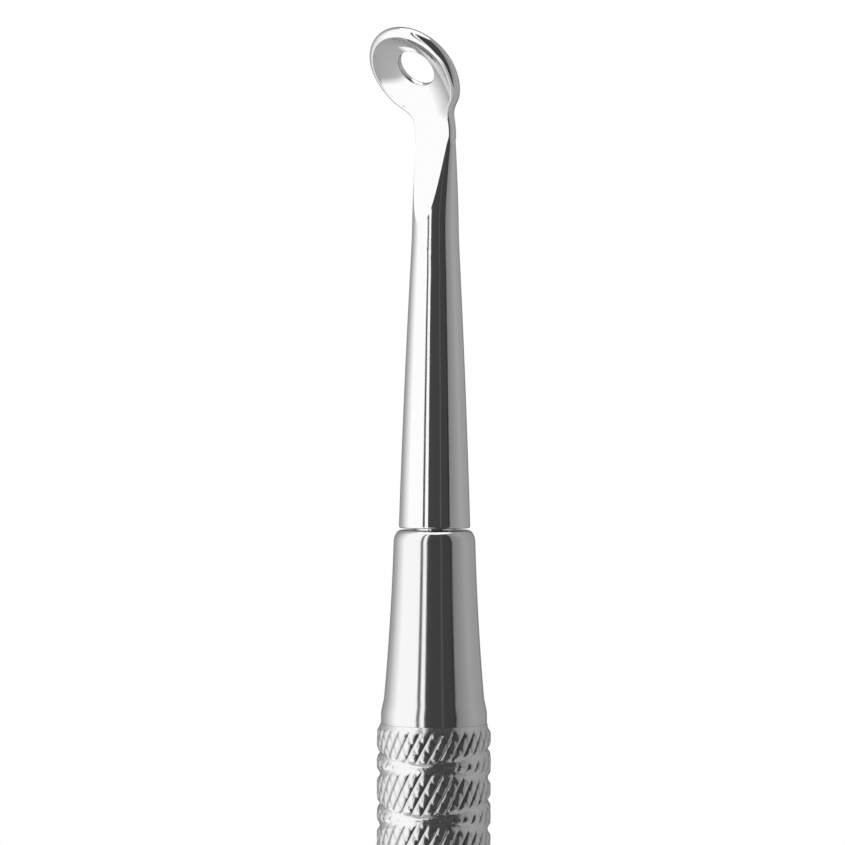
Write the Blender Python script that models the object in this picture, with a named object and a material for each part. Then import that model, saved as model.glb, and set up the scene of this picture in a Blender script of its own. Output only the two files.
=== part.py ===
"""Double-ended ear wax cleaner in stainless steel.

The tool stands upright: +Z is its long axis and the origin is the middle of the grip.
A loop tip points up and a scoop tip points down.  Each tip has a round tang that sits
in the bore of a cone-shaped ferrule, and each ferrule has a spigot that sits in the
hollow grip tube.  Nothing on the tool moves.
"""

import math

import bpy
import bmesh
from mathutils import Matrix, Vector

MM = 0.001

# Driving dimensions, in millimetres
OVERALL_LENGTH = 140.0
GRIP_RADIUS = 3.0
GRIP_LENGTH = 67.42
GRIP_BORE_RADIUS = 2.3
GRIP_END_RADIUS = 2.79
GRIP_CHAMFER = 0.42
FERRULE_LENGTH = 10.25
FERRULE_MOUTH_RADIUS = 1.79
FERRULE_SHOULDER_RADIUS = 2.13
FERRULE_SHOULDER_HEIGHT = 0.7
FERRULE_FLARE_RADIUS = 2.62
FERRULE_FLARE_HEIGHT = 1.2
FERRULE_BAND_HEIGHT = 0.45
SPIGOT_LENGTH = 8.0
BORE_RADIUS = 1.1
TANG_RADIUS = 1.0
TANG_LENGTH = 9.0
TANG_END_RADIUS = 0.8
TANG_CHAMFER = 0.2
SHANK_BASE_RADIUS = 1.881
SHANK_END_RADIUS = 1.222              # the thinnest part, below the neck
SHANK_TAPER = 0.031                   # how fast it narrows where it leaves the ferrule
SHANK_BOW = 0.000735                  # and how much faster with each millimetre squared
SHANK_EDGE_ROUND = 0.1
SEAM_GAP = 0.1
NECK_LIP = 0.09                       # the neck's sides bulge out past its flat by this
DRILL_LENGTH = 4.0

# How finely the shapes are cut up
ROUND_STEPS = 48
MOUTH_STEPS = 5
FLARE_STEPS = 4
FRONT_POINTS = 9
EDGE_POINTS = 7
BACK_POINTS = 9
SHANK_STEPS = 3
FLAT_STEPS = 20
NECK_STEPS = 7
HEAD_STEPS = 18
FRONT_SPREAD = math.radians(60.0)
BACK_SPREAD = math.radians(60.0)
NARROWEST_CUT = math.radians(12.0)    # the front points keep at least this spread
NARROWEST_FACE = 0.6                  # and the head's front this share of its width
NECK_FILL_POWER = 1.6
FLAT_ZONE = 10.0                      # the flat runs out within this length of the neck
HEAD_START = math.asin(-0.8)          # first and last section of the head, as angles
HEAD_END = math.radians(84.0)         # whose sine is the share of the head's half length

# The loop: a dished disc with a hole, bent forward on a flattened neck
LOOP = {
    "rim_radius": 2.34,          # crest of the rim, across the tool
    "rim_length": 2.34,          # the same along the tool: equal, so the loop is round
    "rim_front": 0.32,           # height of the crest over the head's middle plane
    "rim_back": 0.38,            # depth of the rim behind that plane
    "lip": 0.3,                  # the rounded rim bulges out past its crest by this
    "dish_radius": 4.15,         # the dish is part of a ball of this radius
    "back_radius": 13.0,         # and so is the domed back
    "tilt": math.radians(38.8),  # forward lean of the disc
    "forward": 1.80,             # its centre stands this far in front of the axis
    "bend_radius": 3.06,         # bend between the neck and the disc
    "neck_half_width": 1.225,
    "neck_length": 4.6,          # the neck fills out into the round shank over this length
    "neck_side": 0.25,           # depth of the neck's side edge behind the axis
    "neck_back": 0.70,           # depth of the middle of the neck behind the axis
    "flat_height": 0.29,         # ground flat in front of the axis, at the neck
    "flat_slope": 0.2,           # how fast the flat runs out along the shank
    "hole_radius": 1.05,
}

# The scoop: a longer, narrower bowl with no hole
SCOOP = {
    "rim_radius": 1.45,
    "rim_length": 2.9,
    "rim_front": 0.2,
    "rim_back": 0.2,
    "lip": 0.2,
    "dish_radius": 3.2,
    "back_radius": 4.2,
    "tilt": math.radians(24.0),
    "forward": 1.37,
    "bend_radius": 4.0,
    "neck_half_width": 0.86,
    "neck_length": 6.0,
    "neck_side": 0.2,
    "neck_back": 0.62,
    "flat_height": 0.16,
    "flat_slope": 0.16,
}

GRIP_END_Z = GRIP_LENGTH / 2
JOINT_Z = GRIP_END_Z + FERRULE_LENGTH
TIP_LENGTH = OVERALL_LENGTH / 2 - JOINT_Z


def clear_scene():
    """Remove whatever the file opened with."""
    for item in list(bpy.data.objects):
        bpy.data.objects.remove(item, do_unlink=True)


def steel(name, colour, roughness):
    """A plain metal for one finish of stainless steel."""
    material = bpy.data.materials.new(name)
    material.use_nodes = True
    shader = material.node_tree.nodes["Principled BSDF"]
    shader.inputs["Base Color"].default_value = (*colour, 1.0)
    shader.inputs["Metallic"].default_value = 1.0
    shader.inputs["Roughness"].default_value = roughness
    return material


def add_object(name, mesh, material, parent):
    """Put a mesh in the scene under the tool's empty, shaded smooth with crisp corners."""
    mesh.shade_smooth()
    mesh.set_sharp_from_angle(angle=math.radians(35.0))
    mesh.materials.append(material)
    item = bpy.data.objects.new(name, mesh)
    bpy.context.collection.objects.link(item)
    item.parent = parent
    return item


def turned_mesh(name, profile):
    """Turn a closed (radius, height) outline, in millimetres, about the Z axis."""
    shape = bmesh.new()
    points = [shape.verts.new((radius * MM, 0.0, height * MM)) for radius, height in profile]
    edges = [shape.edges.new((points[i - 1], points[i])) for i in range(len(points))]
    bmesh.ops.spin(shape, geom=points + edges, axis=(0, 0, 1), cent=(0, 0, 0),
                   angle=2 * math.pi, steps=ROUND_STEPS, use_merge=True, use_duplicate=False)
    bmesh.ops.recalc_face_normals(shape, faces=shape.faces)
    mesh = bpy.data.meshes.new(name)
    shape.to_mesh(mesh)
    shape.free()
    return mesh


def arc(centre, radius, start, end, steps):
    """Points along a circular arc, angles in degrees."""
    points = []
    for i in range(steps + 1):
        angle = math.radians(start + (end - start) * i / steps)
        points.append((centre[0] + radius * math.cos(angle), centre[1] + radius * math.sin(angle)))
    return points


def smooth_step(low, high, value):
    """0 below low, 1 above high, and an S-curve between."""
    x = min(max((value - low) / (high - low), 0.0), 1.0)
    return x * x * (3.0 - 2.0 * x)


# ---------------------------------------------------------------- grip and ferrules

def grip_profile():
    """Outline of the hollow grip tube, chamfered at both ends."""
    top = GRIP_END_Z
    body = top - GRIP_CHAMFER
    return [
        (GRIP_BORE_RADIUS, top), (GRIP_END_RADIUS, top), (GRIP_RADIUS, body),
        (GRIP_RADIUS, -body), (GRIP_END_RADIUS, -top), (GRIP_BORE_RADIUS, -top),
    ]


def ferrule_profile():
    """Outline of a ferrule: rounded mouth, cone, flare, band, then the spigot in the tube."""
    top = JOINT_Z - SEAM_GAP
    base = GRIP_END_Z + SEAM_GAP
    shoulder = top - FERRULE_SHOULDER_HEIGHT
    band = base + FERRULE_BAND_HEIGHT
    flare = band + FERRULE_FLARE_HEIGHT
    spigot_radius = GRIP_BORE_RADIUS - SEAM_GAP
    depth = base - SPIGOT_LENGTH
    round_width = FERRULE_SHOULDER_RADIUS - FERRULE_MOUTH_RADIUS
    outline = [(BORE_RADIUS, top)]
    for x, y in arc((0.0, 0.0), 1.0, 90.0, 0.0, MOUTH_STEPS):
        outline.append((FERRULE_MOUTH_RADIUS + round_width * x,
                        shoulder + FERRULE_SHOULDER_HEIGHT * y))
    for i in range(FLARE_STEPS + 1):
        share = i / FLARE_STEPS
        outline.append((FERRULE_FLARE_RADIUS
                        + (GRIP_END_RADIUS - FERRULE_FLARE_RADIUS) * share ** 2,
                        flare + (band - flare) * share))
    outline += [
        (GRIP_END_RADIUS, base), (spigot_radius, base), (spigot_radius, depth),
        (BORE_RADIUS, depth),
    ]
    return outline


# ---------------------------------------------------------------- tips

def shank_radius(z):
    """Radius of the shank, z millimetres above the joint: a slightly bowed cone."""
    return max(SHANK_BASE_RADIUS - SHANK_TAPER * z - SHANK_BOW * z ** 2, SHANK_END_RADIUS)


class Path:
    """Side view of a tip: up the tool's axis, round the bend, then along the leaning head.

    Distances run along the path from the head's centre: positive towards the tip's end
    and negative down the shank.
    """

    def __init__(self, spec):
        self.tilt = spec["tilt"]
        self.radius = spec["bend_radius"]
        cosine, sine = math.cos(self.tilt), math.sin(self.tilt)
        bulge = math.hypot(cosine * spec["lip"], sine * (spec["rim_front"] + spec["rim_back"]) / 2)
        self.head_z = (TIP_LENGTH - spec["rim_length"] * cosine - bulge
                       + sine * (spec["rim_front"] - spec["rim_back"]) / 2)
        self.tangent = self.radius * math.tan(self.tilt / 2)
        self.to_axis = spec["forward"] / math.sin(self.tilt)
        self.bend_start = self.tangent - self.to_axis
        self.bend_end = self.bend_start - self.radius * self.tilt
        self.corner_z = self.head_z - self.to_axis * math.cos(self.tilt)
        self.axis_z = self.corner_z - self.tangent

    def place(self, along, across, height):
        """Point at a distance along the path, across it, and in front of it."""
        if along >= self.bend_start:
            lean = self.tilt
            distance = self.to_axis + along
            forward = distance * math.sin(lean)
            up = self.corner_z + distance * math.cos(lean)
        elif along >= self.bend_end:
            lean = (along - self.bend_end) / self.radius
            forward = self.radius * (1 - math.cos(lean))
            up = self.axis_z + self.radius * math.sin(lean)
        else:
            lean = 0.0
            forward = 0.0
            up = self.axis_z + along - self.bend_end
        forward += height * math.cos(lean)
        up -= height * math.sin(lean)
        return Vector((across, -forward, up))

    def height_on_axis(self, along):
        """Distance above the joint of a point on the straight part of the path."""
        return self.axis_z + along - self.bend_end


def head_heights(spec, out):
    """Heights of the head's front and back over its middle plane, a distance out from its centre.

    The front is a ball-shaped dish and the back a ball-shaped dome.  Past the crest of the rim
    they close in on each other along a half ellipse.
    """
    rim = spec["rim_radius"]
    inside = min(out, rim)
    past = min((out - inside) / spec["lip"], 1.0)
    middle = (spec["rim_front"] - spec["rim_back"]) / 2
    heights = []
    for ball, edge in ((spec["dish_radius"], spec["rim_front"]),
                       (spec["back_radius"], -spec["rim_back"])):
        height = edge + math.sqrt(ball ** 2 - rim ** 2) - math.sqrt(ball ** 2 - inside ** 2)
        heights.append(middle + (height - middle) * math.sqrt(1 - past ** 2))
    return heights


def head_half_width(spec, along):
    """Half width of the head's outline, blended into the neck by a smooth curve."""
    length = spec["rim_length"] + spec["lip"]
    width = spec["rim_radius"] + spec["lip"]
    leave = -0.5 * length
    join = -1.25 * length
    if along >= leave:
        return width * math.sqrt(max(1.0 - (along / length) ** 2, 0.0))
    if along <= join:
        return spec["neck_half_width"]
    span = leave - join
    x = (leave - along) / span
    start = width * math.sqrt(1.0 - (leave / length) ** 2)
    slope = -width * (leave / length) ** 2 / math.sqrt(1.0 - (leave / length) ** 2) * span / -leave
    end = spec["neck_half_width"]
    return (start * (1 + 2 * x) * (1 - x) ** 2 + slope * x * (1 - x) ** 2
            + end * x * x * (3 - 2 * x))


def head_section(spec, path, along):
    """Closed loop of points round the head where a plane crosses the path."""
    rim = spec["rim_radius"]
    drawn_in = along * rim / spec["rim_length"]
    neck = smooth_step(0.5, 1.25, -along / spec["rim_length"])
    outer = head_half_width(spec, along)
    crest = math.sqrt(max(rim ** 2 - drawn_in ** 2, 0.0))
    inner = max(crest, NARROWEST_FACE * outer) * (1 - neck) + (outer - NECK_LIP) * neck
    inner = min(inner, outer - NECK_LIP / 2)
    sides = [(EDGE_POINTS - i) / (EDGE_POINTS + 1) * math.pi for i in range(EDGE_POINTS)]

    def heights(across):
        front, back = head_heights(spec, math.hypot(drawn_in, across))
        share = min(abs(across) / inner, 1.0)
        ridge = -spec["neck_side"] - (spec["neck_back"] - spec["neck_side"]) * (1 - share ** 2)
        return (front + (spec["flat_height"] - front) * neck, back + (ridge - back) * neck)

    front_rim, back_rim = heights(inner)
    middle = (front_rim + back_rim) / 2
    half = (front_rim - back_rim) / 2
    points = []
    for i in range(FRONT_POINTS):
        across = inner * (2 * i / (FRONT_POINTS - 1) - 1)
        points.append((across, heights(across)[0]))
    for angle in sides:
        points.append((inner + (outer - inner) * math.sin(angle),
                       middle - half * math.cos(angle)))
    for i in range(BACK_POINTS):
        across = inner * (1 - 2 * i / (BACK_POINTS - 1))
        points.append((across, heights(across)[1]))
    for angle in reversed(sides):
        points.append((-inner - (outer - inner) * math.sin(angle),
                       middle - half * math.cos(angle)))
    return [path.place(along, across, height) for across, height in points]


def shank_section(spec, path, along):
    """Loop of points round the shank: an ellipse that turns round, cut by the ground flat."""
    radius = shank_radius(path.height_on_axis(along))
    below_neck = path.bend_end - along
    filled = smooth_step(0.0, spec["neck_length"], below_neck)
    wide = spec["neck_half_width"] + (radius - spec["neck_half_width"]) * filled
    hollow = max(1 - below_neck / spec["neck_length"], 0.0) ** NECK_FILL_POWER
    deep = radius + (spec["neck_back"] - radius) * hollow
    flat = spec["flat_height"] + spec["flat_slope"] * below_neck

    cut = NARROWEST_CUT
    if flat < deep:
        edge = wide * math.sqrt(1 - (flat / deep) ** 2)
        cut = max(math.atan2(edge, flat), NARROWEST_CUT)
    flat_share = 1 - smooth_step(-0.1, 0.6, flat - deep)
    cut = cut * flat_share + FRONT_SPREAD * (1 - flat_share)
    points = []
    for angle in ring_angles(cut):
        reach = 1 / math.hypot(math.sin(angle) / wide, math.cos(angle) / deep)
        across, height = reach * math.sin(angle), reach * math.cos(angle)
        if height > flat:
            across *= flat / height
            height = flat
        points.append(path.place(along, across, height))
    return points


def ring_angles(cut):
    """Directions of a section's points: the front between plus and minus cut, then on round."""
    back_start = math.pi - BACK_SPREAD
    gap = back_start - cut
    angles = [cut * (2 * i / (FRONT_POINTS - 1) - 1) for i in range(FRONT_POINTS)]
    angles += [cut + gap * (i + 1) / (EDGE_POINTS + 1) for i in range(EDGE_POINTS)]
    angles += [back_start + 2 * BACK_SPREAD * i / (BACK_POINTS - 1) for i in range(BACK_POINTS)]
    angles += [-back_start + gap * (i + 1) / (EDGE_POINTS + 1) for i in range(EDGE_POINTS)]
    return angles


def round_section(radius, z):
    """Loop of points round a plain circle, spaced as on the shank."""
    return [Vector((radius * math.sin(a), -radius * math.cos(a), z))
            for a in ring_angles(FRONT_SPREAD)]


def tip_sections(spec):
    """All section loops of a tip, from the end of its tang to the end of its head."""
    path = Path(spec)
    sections = [
        round_section(TANG_END_RADIUS, -TANG_LENGTH),
        round_section(TANG_RADIUS, -TANG_LENGTH + TANG_CHAMFER),
        round_section(TANG_RADIUS, 0.0),
        round_section(SHANK_BASE_RADIUS - SHANK_EDGE_ROUND, 0.0),
        round_section(shank_radius(SHANK_EDGE_ROUND), SHANK_EDGE_ROUND),
    ]
    bottom = path.bend_end - path.axis_z
    flat_end = path.bend_end - FLAT_ZONE
    for i in range(1, SHANK_STEPS + 1):
        along = bottom + (flat_end - bottom) * i / SHANK_STEPS
        sections.append(shank_section(spec, path, along))
    for i in range(1, FLAT_STEPS + 1):
        along = flat_end + (path.bend_end - flat_end) * i / FLAT_STEPS
        sections.append(shank_section(spec, path, along))
    length = spec["rim_length"] + spec["lip"]
    neck_top = length * math.sin(HEAD_START)
    for i in range(1, NECK_STEPS):
        along = path.bend_end + (neck_top - path.bend_end) * i / NECK_STEPS
        sections.append(head_section(spec, path, along))
    for i in range(HEAD_STEPS + 1):
        angle = HEAD_START + (HEAD_END - HEAD_START) * i / HEAD_STEPS
        sections.append(head_section(spec, path, length * math.sin(angle)))
    return sections


def tip_mesh(name, spec):
    """Bridge a tip's section loops into one closed body, standing on the joint."""
    shape = bmesh.new()
    loops = []
    for section in tip_sections(spec):
        corners = [shape.verts.new(point * MM) for point in section]
        loops.append([shape.edges.new((corners[i - 1], corners[i])) for i in range(len(corners))])
    for lower, upper in zip(loops, loops[1:]):
        bmesh.ops.bridge_loops(shape, edges=lower + upper)
    bmesh.ops.holes_fill(shape, edges=loops[0] + loops[-1], sides=0)
    bmesh.ops.recalc_face_normals(shape, faces=shape.faces)
    mesh = bpy.data.meshes.new(name)
    shape.to_mesh(mesh)
    shape.free()
    return mesh


def drill(item, spec, material):
    """Cut the loop's round hole, square to the leaning disc."""
    path = Path(spec)
    shape = bmesh.new()
    bmesh.ops.create_cone(shape, cap_ends=True, segments=ROUND_STEPS,
                          depth=DRILL_LENGTH * MM,
                          radius1=spec["hole_radius"] * MM, radius2=spec["hole_radius"] * MM)
    mesh = bpy.data.meshes.new(item.name + "_drill")
    shape.to_mesh(mesh)
    shape.free()
    cutter = add_object(item.name + "_drill", mesh, material, item)
    centre = path.place(0.0, 0.0, 0.0) * MM
    cutter.matrix_local = (Matrix.Translation(centre)
                           @ Matrix.Rotation(math.pi / 2 + path.tilt, 4, "X"))
    cutter.hide_render = True
    cutter.display_type = "WIRE"
    cut = item.modifiers.new("hole", "BOOLEAN")
    cut.operation = "DIFFERENCE"
    cut.solver = "EXACT"
    cut.object = cutter


def build():
    """Make every piece and stand it in its place."""
    clear_scene()
    polished = steel("mirror_polished_stainless", (0.80, 0.80, 0.81), 0.08)
    satin = steel("satin_turned_stainless", (0.74, 0.74, 0.75), 0.22)
    knurled = steel("knurled_stainless", (0.70, 0.70, 0.71), 0.28)

    tool = bpy.data.objects.new("ear_wax_cleaner", None)
    bpy.context.collection.objects.link(tool)

    add_object("grip_tube", turned_mesh("grip_tube", grip_profile()), knurled, tool)

    upper = add_object("upper_ferrule", turned_mesh("ferrule", ferrule_profile()), satin, tool)
    lower = add_object("lower_ferrule", upper.data.copy(), satin, tool)
    lower.rotation_euler = (math.pi, 0.0, 0.0)

    loop = add_object("loop_tip", tip_mesh("loop_tip", LOOP), polished, tool)
    loop.location = (0.0, 0.0, JOINT_Z * MM)
    drill(loop, LOOP, polished)

    scoop = add_object("scoop_tip", tip_mesh("scoop_tip", SCOOP), polished, tool)
    scoop.location = (0.0, 0.0, -JOINT_Z * MM)
    scoop.rotation_euler = (math.pi, 0.0, 0.0)


build()
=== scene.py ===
"""Ear wax cleaner: the finished looks of a double-ended stainless steel hand tool.

The tool stands upright on +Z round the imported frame.  Each piece is a surface worked out with
numpy: a point is a function of two parameters, and the rows of points become faces.
"""

import math

import bmesh
import bpy
import numpy as np
from bpy.props import FloatProperty, FloatVectorProperty, IntProperty, PointerProperty
from bpy.types import Operator, Panel, PropertyGroup
from mathutils import Matrix, Vector


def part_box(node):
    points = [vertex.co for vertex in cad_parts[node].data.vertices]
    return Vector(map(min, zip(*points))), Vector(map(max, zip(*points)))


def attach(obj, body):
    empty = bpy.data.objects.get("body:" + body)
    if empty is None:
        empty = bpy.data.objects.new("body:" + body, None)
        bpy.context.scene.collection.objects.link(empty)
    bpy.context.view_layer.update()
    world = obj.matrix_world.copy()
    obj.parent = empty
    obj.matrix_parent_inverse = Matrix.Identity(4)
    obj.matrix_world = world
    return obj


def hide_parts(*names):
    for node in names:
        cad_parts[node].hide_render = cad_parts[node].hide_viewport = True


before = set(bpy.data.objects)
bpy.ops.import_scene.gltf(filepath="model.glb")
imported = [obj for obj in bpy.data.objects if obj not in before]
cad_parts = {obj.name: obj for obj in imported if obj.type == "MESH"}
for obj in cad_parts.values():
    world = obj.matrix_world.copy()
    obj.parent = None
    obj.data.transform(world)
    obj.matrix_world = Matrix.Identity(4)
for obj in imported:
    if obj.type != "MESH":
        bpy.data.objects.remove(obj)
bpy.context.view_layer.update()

bl_info = {
    "name": "Ear Wax Cleaner",
    "version": (1, 0, 0),
    "blender": (4, 5, 0),
    "location": "3D View > Sidebar > Ear Cleaner",
    "description": "Builds a polished double-ended ear wax cleaner round its packed frame",
    "category": "Object",
}

MM = 0.001
BODY = "root"

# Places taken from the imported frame, in metres
GRIP_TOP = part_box("grip_tube")[1].z
GRIP_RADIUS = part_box("grip_tube")[1].x
MOUTH_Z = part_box("upper_ferrule")[1].z
TIP_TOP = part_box("loop_tip")[1].z
TANG_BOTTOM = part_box("loop_tip")[0].z
TOOL_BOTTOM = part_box("scoop_tip")[0].z

# Fits where the pieces join, in metres
SEAM = 0.1 * MM
JOINT_Z = MOUTH_Z + SEAM
TANG_RADIUS = 1.0 * MM
TANG_END_RADIUS = 0.8 * MM
TANG_CHAMFER = 0.2 * MM
BORE_RADIUS = 1.1 * MM
SPIGOT_RADIUS = 2.2 * MM
SPIGOT_LENGTH = 8.0 * MM
GRIP_BORE = 2.3 * MM
MERGE_DISTANCE = 0.0002 * MM

# Edges between faces that meet at more than this angle stay sharp
SHARP_ON_TIPS = math.radians(16.0)
SHARP_ON_FERRULES = math.radians(30.0)
SHARP_ON_GRIP = math.radians(40.0)


def linear(code):
    """An sRGB hex colour as linear red, green and blue."""
    shares = [int(code[i:i + 2], 16) / 255 for i in (0, 2, 4)]
    return tuple(c / 12.92 if c <= 0.04045 else ((c + 0.055) / 1.055) ** 2.4 for c in shares)


def length(name, description, millimetres):
    """A length property whose default is given in millimetres."""
    return FloatProperty(name=name, description=description, default=millimetres * MM,
                         unit="LENGTH", precision=5)


def angle(name, description, degrees):
    """An angle property whose default is given in degrees."""
    return FloatProperty(name=name, description=description, default=math.radians(degrees),
                         subtype="ANGLE")


def share(name, description, value):
    """A property from 0 to 1."""
    return FloatProperty(name=name, description=description, default=value,
                         min=0.0, max=1.0, subtype="FACTOR")


def colour(name, description, code):
    """A colour property whose default is an sRGB hex code."""
    return FloatVectorProperty(name=name, description=description, default=linear(code),
                               min=0.0, max=1.0, size=3, subtype="COLOR")


# -------------------- sizes and colours

class LoopTipSizes(PropertyGroup):
    """The loop end: a dished disc with a round hole, bent forward on a flattened neck."""
    rim_radius: length("Rim radius", "Crest of the rim, across the head", 2.34)
    rim_length: length("Rim length", "Crest of the rim, towards the tip's end", 2.34)
    rim_tail: length("Rim tail", "The same towards the neck, where the outline is drawn out", 2.68)
    rim_corner: length("Rim corner", "Rounding between dish and crest", 0.12)
    rim_front: length("Rim front", "Height of the rim's crest over the middle plane", 0.32)
    rim_back: length("Rim back", "Depth of the rim behind the middle plane", 0.38)
    lip: length("Lip", "Bulge of the rounded rim past its crest", 0.3)
    dish_radius: length("Dish radius", "Radius of the ball that the dish is part of", 4.15)
    back_radius: length("Back radius", "Radius of the ball that the domed back is part of", 13.0)
    hole_radius: length("Hole radius", "Radius of the hole at its narrowest", 1.05)
    tilt: angle("Tilt", "Forward lean of the head", 38.8)
    forward: length("Forward", "How far the head's centre stands in front of the axis", 1.80)
    bend_radius: length("Bend radius", "Bend between the neck and the head", 3.06)
    neck_half_width: length("Neck half width", "Half the width of the flat at the neck", 1.135)
    neck_lip: length("Neck lip", "Bulge of the neck's sides past the flat", 0.09)
    neck_side: length("Neck side", "Depth of the neck's side edge behind the axis", 0.25)
    neck_back: length("Neck back", "Depth of the middle of the neck behind the axis", 0.70)
    neck_length: length("Neck length", "The neck fills out to the shank over this length", 4.6)
    mouth: length("Mouth", "Where the dish starts to open into the flat, below the centre", 1.1)
    neck_top: length("Neck top", "Where the flat starts, below the centre of the head", 3.18)
    flat_height: length("Flat height", "The ground flat in front of the axis, at the neck", 0.29)
    flat_slope: share("Flat slope", "How fast the flat runs out along the shank", 0.2)


class ScoopTipSizes(PropertyGroup):
    """The scoop end: a longer and narrower bowl with no hole."""
    rim_radius: length("Rim radius", "Crest of the rim, across the bowl", 1.45)
    rim_length: length("Rim length", "Crest of the rim, towards the tip's end", 2.9)
    rim_tail: length("Rim tail", "The same towards the neck", 3.3)
    rim_corner: length("Rim corner", "Rounding between bowl and crest", 0.12)
    rim_front: length("Rim front", "Height of the rim's crest over the middle plane", 0.2)
    rim_back: length("Rim back", "Depth of the rim behind the middle plane", 0.2)
    lip: length("Lip", "Bulge of the rounded rim past its crest", 0.2)
    dish_radius: length("Dish radius", "Radius of the ball that the bowl is part of", 3.2)
    back_radius: length("Back radius", "Radius of the ball that the back is part of", 4.2)
    hole_radius: length("Hole radius", "The bowl has no hole", 0.0)
    tilt: angle("Tilt", "Forward lean of the bowl", 24.0)
    forward: length("Forward", "How far the bowl's centre stands in front of the axis", 1.37)
    bend_radius: length("Bend radius", "Bend between the neck and the bowl", 4.0)
    neck_half_width: length("Neck half width", "Half the width of the flat at the neck", 0.8)
    neck_lip: length("Neck lip", "Bulge of the neck's sides past the flat", 0.06)
    neck_side: length("Neck side", "Depth of the neck's side edge behind the axis", 0.2)
    neck_back: length("Neck back", "Depth of the middle of the neck behind the axis", 0.62)
    neck_length: length("Neck length", "The neck fills out to the shank over this length", 6.0)
    mouth: length("Mouth", "Where the bowl starts to open into the flat", 1.7)
    neck_top: length("Neck top", "Where the flat starts, below the centre of the bowl", 3.7)
    flat_height: length("Flat height", "The ground flat in front of the axis, at the neck", 0.16)
    flat_slope: share("Flat slope", "How fast the flat runs out along the shank", 0.16)


class BodySizes(PropertyGroup):
    """The shank, the ferrules and the grip."""
    shank_radius: length("Shank radius", "Radius of the shank where it meets the ferrule", 1.881)
    shank_end: length("Shank end", "Radius of the shank at its narrowest, below the neck", 1.222)
    shank_taper: share("Shank taper", "How fast the shank narrows where it leaves the ferrule", 0.031)
    shank_bow: share("Shank bow", "How much faster it narrows with each millimetre squared", 0.000735)
    shank_edge: length("Shank edge", "Rounding of the shank's foot", 0.1)
    mouth_radius: length("Mouth radius", "Inner edge of the ferrule's rounded mouth", 1.77)
    shoulder_radius: length("Shoulder radius", "Ferrule below its rounded mouth", 2.155)
    shoulder_height: length("Shoulder height", "Height of the ferrule's rounded mouth", 0.7)
    cone_radius: length("Cone radius", "Foot of the ferrule's cone, before the flare", 2.64)
    flare_height: length("Flare height", "Height of the flare at the ferrule's foot", 0.8)
    band_height: length("Band height", "Height of the plain band at the ferrule's foot", 0.45)
    grip_end_radius: length("Grip end radius", "Grip and ferrule where they meet", 2.79)
    grip_chamfer: length("Grip chamfer", "Length of the grip's turned-down ends", 0.42)
    knurl_starts: IntProperty(name="Knurl starts", description="Knurl lines round the grip, each "
                              "way", default=30, min=8, max=90)
    knurl_pitch: length("Knurl pitch", "Length of one diamond along the grip", 1.11)
    knurl_depth: length("Knurl depth", "Depth of the knurl lines that climb to the right", 0.085)
    knurl_second: share("Second knurl lines", "Depth of the other knurl lines, as a share", 0.45)
    knurl_shoulder: share("Knurl shoulder", "Reach of a line's rounded sides, as a share of the "
                          "spacing", 0.28)
    groove_lead: length("Groove lead", "Each groove climbs this far in one turn", 2.695)
    groove_width: length("Groove width", "Width of the winding grooves, with their shoulders", 0.72)
    groove_depth: length("Groove depth", "Depth of the winding grooves", 0.175)
    groove_height: length("Groove crossing height", "A place where the grooves cross", 31.61)
    groove_azimuth: angle("Groove crossing direction", "The side where the grooves cross", 26.3)


class Finishes(PropertyGroup):
    """Colours of the three steel finishes, of the painted shade in the knurl valleys, and of the
    studio floor.
    """
    polished: colour("Mirror polish", "Forged tips, polished bright", "CDCDCD")
    turned: colour("Fine turning", "Ferrules, turned and lightly polished", "C8C8C8")
    knurl_top: colour("Knurl tops", "Outer faces of the rolled knurl", "C8C8C8")
    # The darker valley colour is painted shade in the knurl lines
    knurl_valley_shade: colour("Knurl valleys", "Bottoms of the knurl lines, which hold a little dirt",
                         "8E8E8E")
    floor: colour("Floor", "Pale matt floor", "E4E4E4")


class StageSizes(PropertyGroup):
    """The camera and the light tent."""
    camera_azimuth: angle("Camera direction", "Direction of the camera round the tool", 40.3)
    camera_distance: length("Camera distance", "From the camera to the tool's axis", 157.9)
    camera_height: length("Camera height", "Above the middle of the grip", 49.51)
    camera_aside: length("Camera aside", "The camera stands this far left of the axis", 0.65)
    camera_roll: angle("Camera roll", "Turn of the picture, clockwise", 0.17)
    camera_lens: FloatProperty(name="Lens", description="Focal length for a 36 mm sensor",
                               default=127.8, unit="CAMERA")
    floor_radius: length("Floor radius", "Radius of the round floor", 600.0)
    tent_radius: length("Tent radius", "Radius of the ring of light panels", 190.0)
    tent_top: length("Tent top", "Height of the panels' upper edge", 420.0)


class EarCleanerSettings(PropertyGroup):
    """Everything that a user can change."""
    loop: PointerProperty(name="Loop tip", type=LoopTipSizes)
    scoop: PointerProperty(name="Scoop tip", type=ScoopTipSizes)
    body: PointerProperty(name="Shank, ferrules and grip", type=BodySizes)
    finishes: PointerProperty(name="Finishes", type=Finishes)
    stage: PointerProperty(name="Stage", type=StageSizes)


# -------------------- curves and steps

def smooth_step(low, high, value):
    """0 below low, 1 above high, and the curve 3x^2 - 2x^3 between."""
    x = np.clip((value - low) / (high - low), 0.0, 1.0)
    return x * x * (3.0 - 2.0 * x)


def soft_ramp(value, softness):
    """0 well below zero, the value itself well above, and a smooth corner between."""
    return softness * np.logaddexp(0.0, value / softness)


def lerp(a, b, weight):
    """A mix of a and b."""
    return a + (b - a) * weight


def hermite(x, start, start_slope, end, end_slope):
    """Cubic curve from start to end as x goes from 0 to 1, with the slopes at its ends."""
    return (start * (1 + 2 * x) * (1 - x) ** 2 + start_slope * x * (1 - x) ** 2
            + end * x * x * (3 - 2 * x) + end_slope * x * x * (x - 1))


def from_whole(value):
    """Distance of each value from the nearest whole number."""
    return np.abs(value - np.round(value))


# -------------------- meshes

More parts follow.
